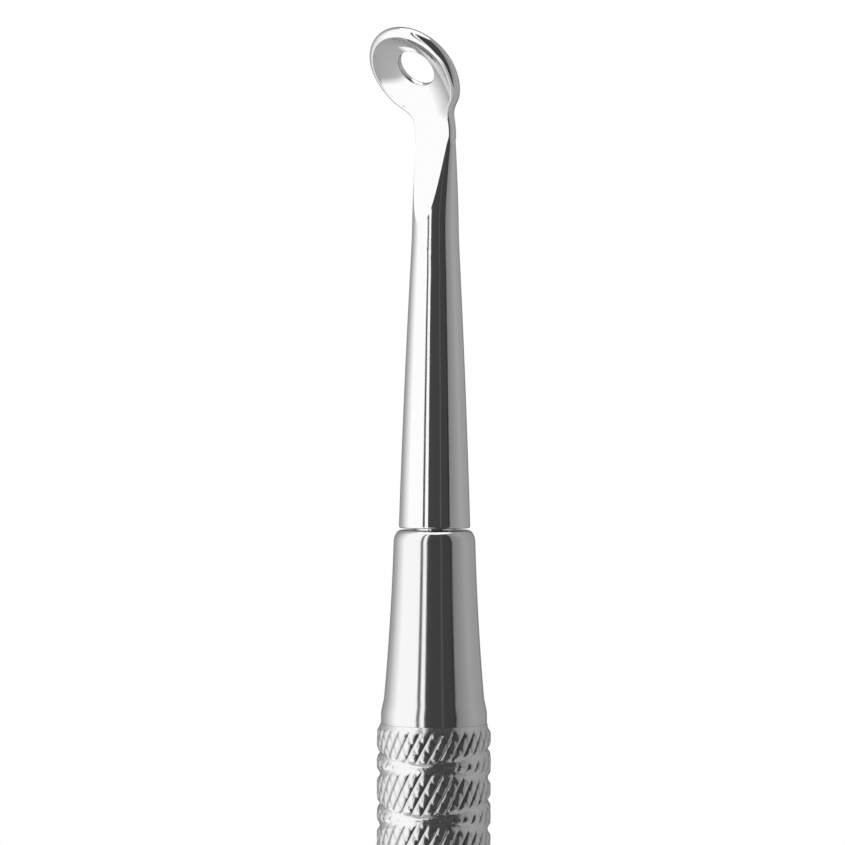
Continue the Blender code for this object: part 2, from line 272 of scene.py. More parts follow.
def grid_faces(rows, columns, start, closed):
    """Quads between neighbouring rows of a grid whose points are numbered row by row."""
    index = start + np.arange(rows * columns).reshape(rows, columns)
    if closed:
        index = np.concatenate((index, index[:, :1]), axis=1)
    corners = (index[:-1, :-1], index[:-1, 1:], index[1:, 1:], index[1:, :-1])
    return np.stack(corners, axis=-1).reshape(-1, 4)


def staggered_faces(rows, columns, first_turned):
    """Triangles between rings, every other one of which is turned by half a step."""
    index = np.arange(rows * columns).reshape(rows, columns)
    after = np.roll(index, -1, axis=1)
    low, low_next, high, high_next = index[:-1], after[:-1], index[1:], after[1:]
    even = np.arange(rows - 1)[:, None] % 2 == first_turned
    first = np.stack((low, low_next, np.where(even, high, high_next)), axis=-1)
    second = np.stack((np.where(even, low_next, low), high_next, high), axis=-1)
    return np.concatenate((first.reshape(-1, 3), second.reshape(-1, 3)))


def new_mesh(name, points, faces, sharp_angle, values=None):
    """A mesh from points and faces: doubles merged, faces outward, shaded smooth.

    values maps attribute names to one number for each point.
    """
    mesh = bpy.data.meshes.new(name)
    mesh.from_pydata(points.tolist(), [], [face for block in faces for face in block.tolist()])
    for key, numbers in (values or {}).items():
        attribute = mesh.attributes.new(key, "FLOAT", "POINT")
        attribute.data.foreach_set("value", np.ascontiguousarray(numbers, dtype=np.float32))
    shape = bmesh.new()
    shape.from_mesh(mesh)
    bmesh.ops.remove_doubles(shape, verts=shape.verts, dist=MERGE_DISTANCE)
    bmesh.ops.recalc_face_normals(shape, faces=shape.faces)
    shape.to_mesh(mesh)
    shape.free()
    mesh.shade_smooth()
    mesh.set_sharp_from_angle(angle=sharp_angle)
    return mesh


def add_object(name, mesh, material):
    """Put a mesh in the scene at the origin, with its material."""
    mesh.materials.append(material)
    item = bpy.data.objects.new(name, mesh)
    bpy.context.scene.collection.objects.link(item)
    return item


def add_piece(name, mesh, material, node):
    """Put a piece of the tool in the scene: it stands for a frame node and rides on the body."""
    item = add_object(name, mesh, material)
    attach(item, BODY)
    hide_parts(node)
    return item


def turned_grid(radii, heights, angles):
    """Surface of revolution: a (radius, height) profile carried round the Z axis."""
    radii, heights = np.asarray(radii)[:, None], np.asarray(heights)[:, None]
    return np.stack(np.broadcast_arrays(radii * np.sin(angles), -radii * np.cos(angles), heights),
                    axis=-1)


def upside_down(points):
    """Turn points half round about the X axis."""
    return points * np.array((1.0, -1.0, -1.0))


def on_upper_joint(points):
    """Raise points, whose heights start at a tip's joint, to the upper end."""
    return points + np.array((0.0, 0.0, JOINT_Z))


def on_lower_joint(points):
    """The same at the lower end, where a tip points down."""
    return upside_down(on_upper_joint(points))


# -------------------- tips

class BentLine:
    """Side view of a tip: up the tool's axis, round the bend, then along the leaning head.

    Distances run along the line from the head's centre: positive to the tip's end.
    """

    def __init__(self, sizes):
        self.tilt = sizes.tilt
        self.radius = sizes.bend_radius
        cosine, sine = math.cos(self.tilt), math.sin(self.tilt)
        bulge = math.hypot(cosine * sizes.lip, sine * (sizes.rim_front + sizes.rim_back) / 2)
        head_z = (TIP_TOP - JOINT_Z - sizes.rim_length * cosine - bulge
                  + sine * (sizes.rim_front - sizes.rim_back) / 2)
        to_axis = sizes.forward / sine
        tangent = self.radius * math.tan(self.tilt / 2)
        self.bend_end = tangent - to_axis - self.radius * self.tilt
        self.axis_z = head_z - to_axis * cosine - tangent

    def place(self, along, across, height):
        """Points at a distance along the line, across it, and in front of it."""
        past = along - self.bend_end
        lean = np.clip(past / self.radius, 0.0, self.tilt)
        straight = np.maximum(past - self.radius * self.tilt, 0.0)
        forward = (self.radius * (1 - np.cos(lean)) + straight * math.sin(self.tilt)
                   + height * np.cos(lean))
        up = (self.axis_z + np.minimum(past, 0.0) + self.radius * np.sin(lean)
              + straight * math.cos(self.tilt) - height * np.sin(lean))
        return np.stack(np.broadcast_arrays(across, -forward, up), axis=-1)


# Where a head runs over into its neck, as shares of the rim's tail
OVAL_ENDS = 0.73
NECK_CURVE = 0.38
SIDE_ENDS = 1.08
RIDGE_STARTS = 0.5
LIP_CHANGES = (0.6, 1.2)

# How soft the corners are where one surface takes over from another, in metres
FLAT_CORNER = 0.12 * MM
MOUTH_CORNER = 0.05 * MM
SHANK_CORNER = 0.02 * MM

# Just under 1, which keeps the ridge's sides from standing upright
RIDGE_ROUNDNESS = 0.999


class Head:
    """Heights and outline of a tip's head and neck, measured from the bent line."""

    def __init__(self, sizes, line):
        self.s = sizes
        self.line = line

    def half_width(self, along):
        """Crest of the outline: an ellipse, then a smooth curve into the straight neck."""
        s = self.s
        span = np.where(along > 0, s.rim_length, s.rim_tail)
        oval = s.rim_radius * np.sqrt(np.maximum(1 - (along / span) ** 2, 0.0))
        leave = OVAL_ENDS * s.rim_tail
        reach = NECK_CURVE * s.rim_tail
        start = s.rim_radius * math.sqrt(1 - (leave / s.rim_tail) ** 2)
        slope = -s.rim_radius ** 2 * leave / (s.rim_tail ** 2 * start)
        x = np.clip((-along - leave) / reach, 0.0, 1.0)
        neck = hermite(x, start, slope * reach, s.neck_half_width, 0.0)
        return np.where(-along > leave, neck, oval)

    def from_centre(self, along, across):
        """Distance from the centre, with the head's length scaled to a circle."""
        span = np.where(along > 0, self.s.rim_length, self.s.rim_tail)
        return np.hypot(across, along * self.s.rim_radius / span)

    def pressed(self, out, ball, crest, side):
        """A ball-shaped face that runs through a rounded corner into the crest, then is level."""
        s = self.s
        base = side * (crest - s.rim_corner)
        reach = ball + side * s.rim_corner
        sphere = base + math.sqrt(reach ** 2 - s.rim_radius ** 2) - np.sqrt(ball ** 2 - out ** 2)
        inside = np.clip(s.rim_radius - out, 0.0, s.rim_corner)
        corner = base + side * np.sqrt(s.rim_corner ** 2 - inside ** 2)
        return np.where(out < s.rim_radius * ball / reach, sphere, corner)

    def dish(self, out):
        """Height of the dish, a distance out from its centre."""
        return self.pressed(np.minimum(out, self.s.rim_radius), self.s.dish_radius,
                            self.s.rim_front, 1)

    def dome(self, out):
        """Height of the domed back."""
        return self.pressed(np.minimum(out, self.s.rim_radius), self.s.back_radius,
                            self.s.rim_back, -1)

    def flat(self, along):
        """Height of the ground flat: level at the neck, then rising down the shank."""
        s = self.s
        return s.flat_height + s.flat_slope * soft_ramp(self.line.bend_end - along, FLAT_CORNER)

    def front(self, along, across):
        """The dish, which opens at its mouth into the ground flat."""
        s = self.s
        low = self.dish(s.mouth * s.rim_radius / s.rim_tail)
        climb = (s.flat_height - low) / (s.neck_top - s.mouth)
        line = low + climb * (-along - s.mouth)
        middle = self.flat(along) - soft_ramp(s.flat_height - line, MOUTH_CORNER)
        middle = np.minimum(middle, self.flat(along))
        past = smooth_step(OVAL_ENDS * s.rim_tail, SIDE_ENDS * s.rim_tail, -along)
        side = lerp(s.rim_front, self.flat(along), past)
        spread = np.clip(np.abs(across) / self.half_width(along), 0.0, 1.0)
        trough = middle + (side - middle) * spread ** 2
        dish = self.dish(self.from_centre(along, across))
        return lerp(dish, trough, smooth_step(s.mouth, s.neck_top, -along))

    def back(self, along, across):
        """The domed back, which deepens into the ridge behind the neck."""
        s = self.s
        dome = self.dome(self.from_centre(along, across))
        spread = np.clip(np.abs(across) / self.half_width(along), 0.0, 1.0)
        arch = np.sqrt(1 - spread ** 2 * RIDGE_ROUNDNESS)
        ridge = -s.neck_side - (s.neck_back - s.neck_side) * arch
        past = smooth_step(RIDGE_STARTS * s.rim_tail, -self.line.bend_end, -along)
        return lerp(dome, ridge, past)

    def lip(self, along):
        """How far the rounded rim stands out past its crest."""
        first, last = LIP_CHANGES
        s = self.s
        past = smooth_step(first * s.rim_tail, last * s.rim_tail, -along)
        return lerp(s.lip, s.neck_lip, past)


# Points across the flat, and steps round the rim's lip, over a head's sheets, along each side
# of its outline, round its end and through the wall of its hole
FLAT_COLUMNS = 33
LIP_STEPS = 24
HEAD_STEPS = 36
SIDE_STEPS = 70
ROUND_STEPS = 96
WALL_STEPS = 10

# How closely the outline's points crowd towards the head, and the sheets' rings to the rim
SIDE_CROWD = 0.8
SHEET_CROWD = 0.6

# How far the hole's rounded wall bulges in past its edges, in metres
HOLE_EDGE = 0.05 * MM


def lip_arc(along, across, normal, head, angles):
    """Rounded rim: half an ellipse that leaves the front crest and comes back behind it."""
    front, back = head.front(along, across), head.back(along, across)
    out = head.lip(along)[:, None] * np.sin(angles)
    height = ((front + back)[:, None] + (front - back)[:, None] * np.cos(angles)) / 2
    return head.line.place(along[:, None] + normal[0][:, None] * out,
                           across[:, None] + normal[1][:, None] * out, height)


def head_outline(sizes, head):
    """Crest of the rim, from the neck's right side round the end to its left side."""
    end = head.line.bend_end
    rise = end * (1 - np.linspace(0.0, 1.0, SIDE_STEPS, endpoint=False) ** SIDE_CROWD)
    turn = np.linspace(0.0, math.pi, ROUND_STEPS + 1)
    along = np.concatenate((rise, sizes.rim_length * np.sin(turn), rise[::-1]))
    across = np.concatenate((head.half_width(rise), sizes.rim_radius * np.cos(turn),
                             -head.half_width(rise[::-1])))
    step = np.gradient(along), np.gradient(across)
    size = np.hypot(*step)
    normal = [-step[1] / size, step[0] / size]
    outward = np.sign(normal[0] * along + normal[1] * across)
    normal = [normal[0] * outward, normal[1] * outward]
    for corner, side in ((0, 1.0), (-1, -1.0)):
        normal[0][corner], normal[1][corner] = 0.0, side
    return along, across, normal


def head_grids(sizes, head):
    """Grids of a head: front and back sheets, rounded rim, and the hole's wall."""
    along, across, normal = head_outline(sizes, head)
    rim = lip_arc(along, across, normal, head, np.linspace(0.0, math.pi, LIP_STEPS + 1))
    foot = np.linspace(-1.0, 1.0, FLAT_COLUMNS)[1:-1] * head.half_width(head.line.bend_end)
    round_along = np.concatenate((along, np.full(len(foot), head.line.bend_end)))
    round_across = np.concatenate((across, foot))
    reach = np.hypot(round_along, round_across)
    ray = np.stack((round_along, round_across)) / reach
    hole = sizes.hole_radius
    inner = hole + HOLE_EDGE if hole > 0 else 0.0
    steps = np.linspace(0.0, 1.0, HEAD_STEPS + 1)
    steps = lerp(steps, np.sin(steps * math.pi / 2), SHEET_CROWD)[:, None]
    out = lerp(inner, reach, steps)
    sheet_along, sheet_across = ray[0] * out, ray[1] * out
    grids = [(rim, False)]
    for face in (head.front, head.back):
        height = face(sheet_along, sheet_across)
        grids.append((head.line.place(sheet_along, sheet_across, height), True))
    if hole > 0:
        turn = np.linspace(0.0, math.pi, WALL_STEPS + 1)[:, None]
        radius = inner - HOLE_EDGE * np.sin(turn)
        front = head.front(ray[0] * inner, ray[1] * inner)
        back = head.back(ray[0] * inner, ray[1] * inner)
        height = (front + back) / 2 + (front - back) / 2 * np.cos(turn)
        grids.append((head.line.place(ray[0] * radius, ray[1] * radius, height), True))
    return grids


def neck_ring(head, along):
    """Sections of the flattened neck, one row for each distance along the line."""
    width = head.half_width(along)
    spread = np.linspace(-1.0, 1.0, FLAT_COLUMNS) * width
    turn = np.linspace(0.0, math.pi, LIP_STEPS + 1)[1:-1]
    front, back = head.flat(along) + 0 * turn, head.back(along, width) + 0 * turn
    side = width + head.lip(along) * np.sin(turn)
    edge = (front + back) / 2 + (front - back) / 2 * np.cos(turn)
    across = np.concatenate((spread, side, spread[:, ::-1], -side[:, ::-1]), axis=1)
    height = np.concatenate((head.flat(along) + 0 * spread, edge,
                             head.back(along, spread[:, ::-1]), edge[:, ::-1]), axis=1)
    return across, height


# Directions round the shank where its flat ends: at its narrowest, and where there is none;
# and where the points behind it start
FLAT_NARROWEST = math.radians(10.0)
FLAT_RELAXED = math.radians(50.0)
REAR_STARTS = math.radians(118.0)


def oval_ring(wide, deep, flat, relax):
    """Sections of the shank: ellipses cut by the ground flat, one row for each height.

    The front columns lie across the flat, and spread out again below it, where relax is 1.
    """
    edge = wide * np.sqrt(np.maximum(1 - (flat / deep) ** 2, 0.0))
    cut = lerp(np.maximum(np.arctan2(edge, flat), FLAT_NARROWEST), FLAT_RELAXED, relax)
    spread = np.linspace(-1.0, 1.0, FLAT_COLUMNS)
    turn = np.linspace(0.0, 1.0, LIP_STEPS + 1)[1:-1]
    side = lerp(cut, REAR_STARTS, turn)
    behind = lerp(REAR_STARTS, 2 * math.pi - REAR_STARTS, (spread + 1) / 2) + 0 * cut
    around = np.concatenate((cut, side, behind, -side[:, ::-1]), axis=1)
    reach = 1 / np.hypot(np.sin(around) / wide, np.cos(around) / deep)
    across, height = reach * np.sin(around), reach * np.cos(around)
    half = across[:, :1] * spread
    front = np.minimum(deep * np.sqrt(1 - (half / wide) ** 2), flat)
    return (np.concatenate((half, across[:, 1:]), axis=1),
            np.concatenate((front, height[:, 1:]), axis=1))


def shank_radius(body, height):
    """Radius of the shank, a height above the joint: a slightly bowed cone with a thinnest part."""
    cone = body.shank_radius - body.shank_taper * height - body.shank_bow * height ** 2 / MM
    return body.shank_end + soft_ramp(cone - body.shank_end, SHANK_CORNER)


# Rows of the shank: along the flat, past the place where it runs out, and on to the foot,
# where they crowd upwards
FLAT_ROWS = 90
RUN_OUT_ROWS = 50
FOOT_ROWS = 40
FOOT_CROWD = 1.3
RUN_OUT_BEFORE = 0.5 * MM
RUN_OUT_AFTER = 0.7 * MM

# Below the flat, the points spread out again over this stretch, in metres
RELAX_FROM = 0.5 * MM
RELAX_TO = 3.0 * MM

# The neck's own section turns into the shank's over this length, in metres
NECK_BLEND = 0.5 * MM

# A power above 1 fills out the neck's depth early, and the foot's edge is rounded in steps
NECK_FILL_POWER = 1.6
FOOT_EDGE_STEPS = 6


def shank_grid(sizes, body, head):
    """The shank and its tang: rings from the neck down to the tang's end."""
    line = head.line
    run_out = (body.shank_end - sizes.flat_height) / sizes.flat_slope
    foot = line.axis_z - body.shank_edge
    before, after = run_out - RUN_OUT_BEFORE, run_out + RUN_OUT_AFTER
    upper = np.linspace(0.0, before, FLAT_ROWS, endpoint=False)
    ending = np.linspace(before, after, RUN_OUT_ROWS, endpoint=False)
    lower = lerp(after, foot, np.linspace(0.0, 1.0, FOOT_ROWS) ** FOOT_CROWD)
    below = np.concatenate((upper, ending, lower))[:, None]
    radius = shank_radius(body, line.axis_z - below)
    neck = sizes.neck_half_width + sizes.neck_lip
    thin = smooth_step(0.0, sizes.neck_length, below)
    wide = lerp(neck, radius, thin)
    filled = np.maximum(1 - below / sizes.neck_length, 0.0) ** NECK_FILL_POWER
    deep = lerp(radius, sizes.neck_back, filled)
    relax = smooth_step(run_out + RELAX_FROM, run_out + RELAX_TO, below)
    oval_across, oval_height = oval_ring(wide, deep, head.flat(line.bend_end - below), relax)
    neck_across, neck_height = neck_ring(head, line.bend_end - below)
    blend = smooth_step(0.0, NECK_BLEND, below)
    across = lerp(neck_across, oval_across, blend)
    height = lerp(neck_height, oval_height, blend)
    shank = line.place(line.bend_end - below, across, height)
    angles = np.arctan2(across[-1], height[-1])
    turn = np.linspace(0.0, math.pi / 2, FOOT_EDGE_STEPS + 1)[1:]
    edge = body.shank_edge
    base = shank_radius(body, edge) - edge
    radii = np.concatenate((base + edge * np.cos(turn),
                            [TANG_RADIUS, TANG_RADIUS, TANG_END_RADIUS, 0.0]))
    tang = TANG_BOTTOM - JOINT_Z
    heights = np.concatenate((edge - edge * np.sin(turn), [0.0, tang + TANG_CHAMFER, tang, tang]))
    return np.concatenate((shank, turned_grid(radii, heights, angles)))


def tip_mesh(name, sizes, body, place):
    """One closed skin for a whole tip, from the end of its head to the end of its tang."""
    head = Head(sizes, BentLine(sizes))
    grids = head_grids(sizes, head) + [(shank_grid(sizes, body, head), True)]
    points, faces, start = [], [], 0
    for grid, closed in grids:
        rows, columns = grid.shape[:2]
        points.append(grid.reshape(-1, 3))
        faces.append(grid_faces(rows, columns, start, closed))
        start += rows * columns
    return new_mesh(name, place(np.concatenate(points)), faces, SHARP_ON_TIPS)


# -------------------- ferrules and grip

# Columns round a ferrule, and steps down its mouth, its cone and the flare at its foot
FERRULE_COLUMNS = 192
MOUTH_STEPS = 12
CONE_STEPS = 24
FLARE_STEPS = 8

# How far the cone's side is hollowed in the middle, and the gap to the grip, in metres
CONE_HOLLOW = 0.06 * MM
GRIP_GAP = 0.01 * MM

# The flare is the end of a smooth step that starts here, so it leaves the cone at a slant
FLARE_START = -0.6


def flared(x):
    """The flare's share of its growth, from 0 to 1 as x goes from 0 to 1."""
    return smooth_step(FLARE_START, 1.0, x) - (1 - x) * smooth_step(FLARE_START, 1.0, 0.0)


def ferrule_profile(body):
    """Outline of a ferrule: quarter-ellipse mouth, slightly hollow cone, flare, band, spigot."""
    turn = np.linspace(math.pi / 2, 0.0, MOUTH_STEPS + 1)
    shoulder = MOUTH_Z - body.shoulder_height
    base = GRIP_TOP + GRIP_GAP
    band = base + body.band_height
    flare = band + body.flare_height
    drop = np.linspace(0.0, 1.0, CONE_STEPS + 1)[1:]
    hollow = CONE_HOLLOW * 4 * drop * (1 - drop)
    out = np.linspace(0.0, 1.0, FLARE_STEPS + 1)[1:]
    lower = base - SPIGOT_LENGTH
    mouth = lerp(body.mouth_radius, body.shoulder_radius, np.cos(turn))
    radii = np.concatenate((
        [BORE_RADIUS], mouth,
        lerp(body.shoulder_radius, body.cone_radius, drop) - hollow,
        lerp(body.cone_radius, body.grip_end_radius, flared(out)),
        [body.grip_end_radius, SPIGOT_RADIUS, SPIGOT_RADIUS, BORE_RADIUS, BORE_RADIUS]))
    heights = np.concatenate((
        [MOUTH_Z], shoulder + body.shoulder_height * np.sin(turn),
        lerp(shoulder, flare, drop), lerp(flare, band, out),
        [base, base, lower, lower, MOUTH_Z]))
    return radii, heights


def ferrule_mesh(name, body, place):
    """A ferrule turned from its profile."""
    angles = np.linspace(0.0, 2 * math.pi, FERRULE_COLUMNS, endpoint=False)
    grid = turned_grid(*ferrule_profile(body), angles)
    rows, columns = grid.shape[:2]
    faces = [grid_faces(rows, columns, 0, True)]
    return new_mesh(name, place(grid.reshape(-1, 3)), faces, SHARP_ON_FERRULES)


# The grip's lattice: cells between two knurl lines, how strongly they crowd towards the lines,
# and over what length they become level rings at the grip's ends
KNURL_CELLS = 5
KNURL_CROWD = 0.075
KNURL_FADE = 1.0 * MM

# The lattice stops this far short of the grip's ends, in metres
LATTICE_MARGIN = 0.02 * MM


def grip_radius(body, angles, heights):
    """Radius of the grip's skin, and how deep it lies in a knurl line, which masks the painted shade.

    Knurl: two families of lines that wind opposite ways.  With u the distance from a line as a
    share of the spacing, the depth is (1 - u / shoulder) squared, so a line is a narrow V with
    rounded shoulders and the diamonds between have level tops.  Grooves: two opposite helices
    with a cosine-shaped section, which cut through the knurl.  The ends are turned down to a
    cone.
    """
    turns = body.knurl_starts * angles / (2 * math.pi)
    climb = heights / body.knurl_pitch
    knurl = 0.0
    for side, share_of_depth in ((-1, 1.0), (1, body.knurl_second)):
        away = from_whole(turns + side * climb) / body.knurl_shoulder
        knurl = np.maximum(knurl, share_of_depth * np.maximum(1 - away, 0.0) ** 2)
    groove = 0.0
    for side in (1, -1):
        phase = (heights - body.groove_height) / body.groove_lead
        phase = phase - side * (angles - body.groove_azimuth) / (2 * math.pi)
        near = np.clip(from_whole(phase) * body.groove_lead / (body.groove_width / 2), 0.0, 1.0)
        groove = np.maximum(groove, (1 + np.cos(math.pi * near)) / 2)
    cone = (GRIP_RADIUS - body.grip_end_radius) / body.grip_chamfer
    ends = np.maximum(np.abs(heights) - (GRIP_TOP - body.grip_chamfer), 0.0) * cone
    depth = np.maximum(body.knurl_depth * knurl, body.groove_depth * groove)
    depth = np.maximum(depth, ends)
    # Knurl depth share outside the grooves: the mask for the painted shade in the knurl valleys
    valley_shade_mask = np.where(depth > body.knurl_depth * knurl, 0.0, knurl)
    return GRIP_RADIUS - depth, valley_shade_mask


def crowded(turns):
    """Draw lattice points towards the knurl lines, which lie on whole turns."""
    return turns - KNURL_CROWD * np.sin(2 * math.pi * turns)


def grip_mesh(name, body):
    """The grip: staggered rings whose slanting edges follow the knurl lines.

    The lattice is drawn towards both families of lines, and fades to level rings at the ends.
    """
    columns = body.knurl_starts * KNURL_CELLS
    step = body.knurl_pitch / (2 * KNURL_CELLS)
    half = int((GRIP_TOP - LATTICE_MARGIN) / step)
    rings = np.arange(-half, half + 1)[:, None]
    turns = (np.arange(columns) + (rings % 2) / 2) / KNURL_CELLS
    climb = rings / (2 * KNURL_CELLS)
    up, down = crowded(turns + climb), crowded(turns - climb)
    inside = np.clip((half * step - np.abs(climb) * body.knurl_pitch) / KNURL_FADE, 0.0, 1.0)
    turns = lerp(turns, (up + down) / 2, inside)
    heights = lerp(climb, (up - down) / 2, inside) * body.knurl_pitch
    angles = turns * 2 * math.pi / body.knurl_starts
    radii, valley_shade_mask = grip_radius(body, angles, heights)
    skin = np.stack((radii * np.sin(angles), -radii * np.cos(angles), heights), axis=-1)
    inner = turned_grid([body.grip_end_radius, GRIP_BORE, GRIP_BORE, body.grip_end_radius],
                        [GRIP_TOP, GRIP_TOP, -GRIP_TOP, -GRIP_TOP], angles[-1])
    ends = np.concatenate((skin[-1:], inner, skin[:1]))
    points = np.concatenate((skin.reshape(-1, 3), ends.reshape(-1, 3)))
    faces = [staggered_faces(len(skin), columns, half % 2),
             grid_faces(len(ends), columns, skin.size // 3, True)]
    # Each point carries its share of painted shade in the knurl lines
    values = {"valley_shade_mask": np.concatenate((valley_shade_mask.ravel(), np.zeros(ends.size // 3)))}
    return new_mesh(name, points, faces, SHARP_ON_GRIP, values)


# -------------------- materials

# Sockets of a colour Mix node, which share their names with those of its other kinds
MIX_FACTOR, MIX_FIRST, MIX_SECOND, MIX_RESULT = 0, 6, 7, 2


def add_node(tree, kind, settings=None, inputs=None):
    """Add a shader node.  An input is a plain value, or the socket that it is linked to."""
    node = tree.nodes.new("ShaderNode" + kind)
    for key, value in (settings or {}).items():
        setattr(node, key, value)
    for key, value in (inputs or {}).items():
        if isinstance(value, bpy.types.NodeSocket):
            tree.links.new(value, node.inputs[key])
        else:
            node.inputs[key].default_value = value
    return node


def new_metal(name, base):
    """A metal material and its shader, ready for patterns."""
    material = bpy.data.materials.new(name)
    material.use_nodes = True
    shader = material.node_tree.nodes["Principled BSDF"]
    shader.inputs["Metallic"].default_value = 1.0
    shader.inputs["Base Color"].default_value = (*base, 1.0)
    return material, material.node_tree, shader


def stretched_noise(tree, size, detail):
    """Noise on object coordinates whose grain measures size, in millimetres along X, Y, Z."""
    place = add_node(tree, "TexCoord")
    scale = tuple(1 / (part * MM) for part in size)
    mapping = add_node(tree, "Mapping", {}, {"Vector": place.outputs["Object"], "Scale": scale})
    return add_node(tree, "TexNoise", {}, {"Vector": mapping.outputs["Vector"], "Scale": 1.0,
                                           "Detail": detail, "Roughness": 0.55}).outputs["Fac"]


def spread(tree, value, low, high):
    """Turn noise between 0.3 and 0.7 into low to high."""
    return add_node(tree, "MapRange", {}, {"Value": value, "From Min": 0.3, "From Max": 0.7,
                                           "To Min": low, "To Max": high}).outputs["Result"]


def bump(tree, height, strength, depth):
    """A bump whose full height is depth, in millimetres."""
    return add_node(tree, "Bump", {}, {"Height": height, "Strength": strength,
                                       "Distance": depth * MM}).outputs["Normal"]


def mirror_polished_steel(base):
    """Martensitic stainless steel, forged and buffed: a bright mirror with faint hairlines.

    The buffing runs along the tool, so the hairlines are long and the streaks soften
    reflections a little, unevenly from place to place.
    """
    material, tree, shader = new_metal("stainless_steel_forged_mirror_polished", base)
    cloud = stretched_noise(tree, (1.1, 1.1, 3.5), 3.0)
    hairline = stretched_noise(tree, (0.06, 0.06, 2.5), 2.0)
    tree.links.new(spread(tree, cloud, 0.045, 0.11), shader.inputs["Roughness"])
    tree.links.new(bump(tree, hairline, 0.5, 0.0006), shader.inputs["Normal"])
    return material


def fine_turned_steel(base):
    """Stainless steel turned on a lathe and lightly buffed: soft reflections, faint rings."""
    material, tree, shader = new_metal("stainless_steel_fine_turned", base)
    rings = stretched_noise(tree, (6.0, 6.0, 0.05), 2.0)
    cloud = stretched_noise(tree, (0.9, 0.9, 2.2), 3.0)
    tree.links.new(spread(tree, cloud, 0.10, 0.14), shader.inputs["Roughness"])
    tree.links.new(bump(tree, rings, 0.35, 0.001), shader.inputs["Normal"])
    return material


def rolled_knurl_steel(top, valley):
    """Stainless steel with a rolled diamond knurl: plain tops, and valleys darkened with painted
    shade.
    """
    material, tree, shader = new_metal("stainless_steel_rolled_knurl", top)
    # Painted shade: the knurl lines mix from the top colour to the darker valley colour
    valley_shade_mask = add_node(tree, "Attribute", {"attribute_name": "valley_shade_mask"}).outputs["Fac"]
    grain = stretched_noise(tree, (0.12, 0.12, 0.12), 3.0)
    valley_shaded_colour = add_node(tree, "Mix", {"data_type": "RGBA"}, {
        MIX_FACTOR: valley_shade_mask, MIX_FIRST: (*top, 1.0), MIX_SECOND: (*valley, 1.0)})
    tree.links.new(valley_shaded_colour.outputs[MIX_RESULT], shader.inputs["Base Color"])
    tree.links.new(spread(tree, grain, 0.12, 0.26), shader.inputs["Roughness"])
    tree.links.new(bump(tree, grain, 0.4, 0.004), shader.inputs["Normal"])
    return material


def matt_floor(base):
    """Matt painted board: pale, with a faint eggshell grain."""
    material = bpy.data.materials.new("painted_board_matt")
    material.use_nodes = True
    tree = material.node_tree
    shader = tree.nodes["Principled BSDF"]
    shader.inputs["Base Color"].default_value = (*base, 1.0)
    shader.inputs["Roughness"].default_value = 0.85
    grain = stretched_noise(tree, (1.5, 1.5, 1.5), 3.0)
    tree.links.new(bump(tree, grain, 0.2, 0.05), shader.inputs["Normal"])
    return material


def glowing_cloth(name):
    """Lit diffuser cloth: its brightness is the panel's own level attribute."""
    material = bpy.data.materials.new(name)
    material.use_nodes = True
    tree = material.node_tree
    tree.nodes.remove(tree.nodes["Principled BSDF"])
    level = add_node(tree, "Attribute", {"attribute_name": "level"}).outputs["Fac"]
    glow = add_node(tree, "Emission", {}, {"Strength": level})
    tree.links.new(glow.outputs["Emission"], tree.nodes["Material Output"].inputs["Surface"])
    return material


# -------------------- stage

# Upright light panels round the tool: name, first and last direction from the camera in degrees
# (viewer's right is positive), the brightness at each, how far in front of the others it
# stands and how high its lower edge is above the floor, in millimetres
PANELS = (
    ("shade_behind_left", -180.0, -164.0, 0.28, 0.28, 0.0, 0.0),
    ("softbox_left_far", -164.0, -130.0, 0.28, 0.67, 0.0, 0.0),
    ("softbox_left_graded", -130.0, -94.0, 0.67, 1.55, 0.0, 0.0),
    ("softbox_left", -94.0, -21.5, 1.6, 1.6, 0.0, 0.0),
    ("flag_line", -39.0, -31.5, 0.16, 0.16, 5.0, 70.0),
    ("dark_card", -21.5, 44.0, 0.085, 0.075, 0.0, 0.0),
    ("dark_card_stripe", 17.0, 20.5, 0.15, 0.15, 5.0, 0.0),
    ("dark_card_edge", 44.0, 50.0, 0.05, 0.05, 0.0, 0.0),
    ("grey_card", 50.0, 95.0, 0.34, 0.58, 0.0, 0.0),
    ("grey_card_far", 95.0, 150.0, 0.58, 0.44, 0.0, 0.0),
    ("shade_behind_right", 150.0, 180.0, 0.30, 0.22, 0.0, 0.0),
)
PANEL_STEPS = 13  # points along each panel
OVERHEAD_LEVEL = 1.8

# Cards on the floor that only reflections see: name, first and last direction, inner and outer
# radius in millimetres, and the brightness at each
FLOOR_CARDS = (
    ("floor_card_dark", (2.0, 50.0), 50.0, 190.0, 0.08, 0.08),
    ("floor_card_graded", (-150.0, -10.0), 95.0, 125.0, 0.72, 1.6),
    ("floor_card_white", (-150.0, -10.0), 125.0, 190.0, 1.6, 1.6),
)
FLOOR_CARD_LIFT = 0.5 * MM

# Rings and columns of the two discs, which are the floor and the light overhead
DISC_RINGS = 25
DISC_COLUMNS = 96
SENSOR_WIDTH = 36.0  # millimetres, as Blender takes it


def add_panel(name, stage, ends, profile, levels, material):
    """Part of a surface of revolution round the tool that the camera can't see.

    ends are its first and last direction from the camera, and levels the brightness of its
    points.
    """
    angles = stage.camera_azimuth + np.radians(np.linspace(*ends, PANEL_STEPS))
    grid = turned_grid(*profile, angles)
    mesh = bpy.data.meshes.new(name)
    mesh.from_pydata(grid.reshape(-1, 3).tolist(), [],
                     grid_faces(2, PANEL_STEPS, 0, False).tolist())
    attribute = mesh.attributes.new("level", "FLOAT", "POINT")
    levels = np.broadcast_to(levels, (2, PANEL_STEPS)).astype(np.float32)
    attribute.data.foreach_set("value", levels.ravel())
    item = add_object(name, mesh, material)
    item.visible_camera = False
    return item


